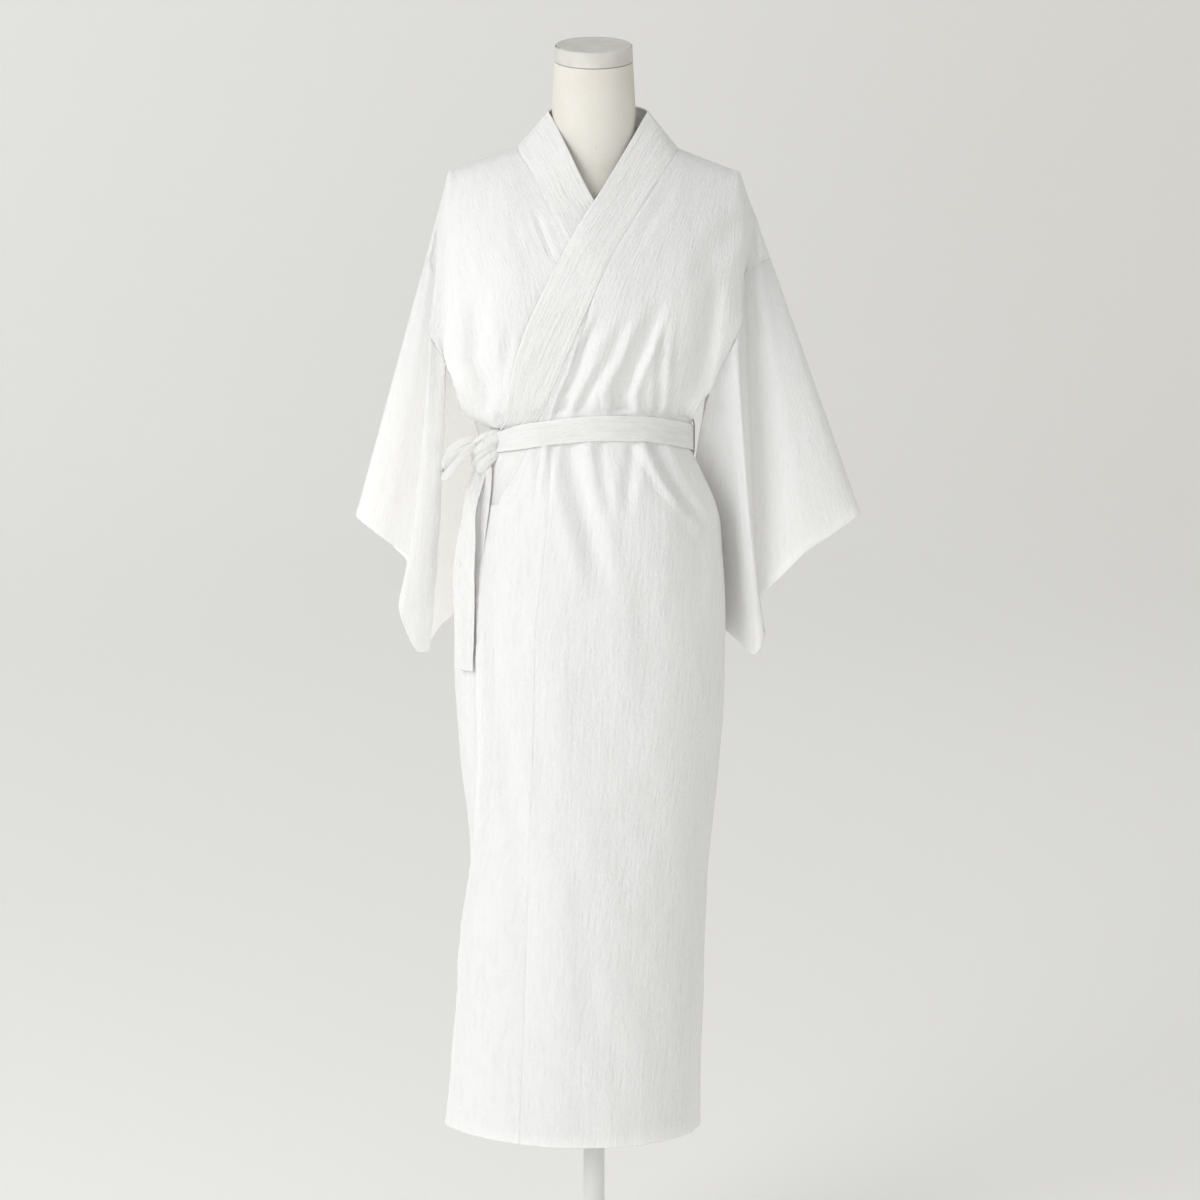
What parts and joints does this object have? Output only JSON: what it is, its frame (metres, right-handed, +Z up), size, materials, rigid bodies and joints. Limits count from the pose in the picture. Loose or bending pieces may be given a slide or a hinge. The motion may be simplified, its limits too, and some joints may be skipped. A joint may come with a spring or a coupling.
{
  "type": "wrapped kimono on limbless dress form with floor stand",
  "caption": "Plain white cotton crepe kimono, wrapped left over right and tied with a narrow belt, on a limbless dress form with a pole and a round base.",
  "frame": {"origin": "centre of the stand's flat underside, on the floor", "axes": "+Z up along the pole, -Y the way the wearer faces, +X the wearer's left"},
  "size_m": [0.6542, 0.33, 1.6704],
  "materials": {
    "cloth": "white cotton crepe with a fine crinkle along the warp, matt",
    "form_cover": "cream woven cotton stretched smooth",
    "neck_cap": "off-white, satin",
    "stand_metal": "white powder coat"
  },
  "bodies": {
    "root": {"body_left": "cloth", "body_right": "cloth", "okumi_left": "cloth", "okumi_right": "cloth", "collar": "cloth", "sleeve_left": "cloth", "sleeve_right": "cloth", "belt_waist": "cloth", "belt_knot": "cloth", "belt_loop": "cloth", "belt_tail_front": "cloth", "belt_tail_back": "cloth", "belt_carrier": "cloth", "form_torso": "form_cover", "form_neck_cap": "neck_cap", "form_pole": "stand_metal", "form_base": "stand_metal"}
  },
  "joints": []
}
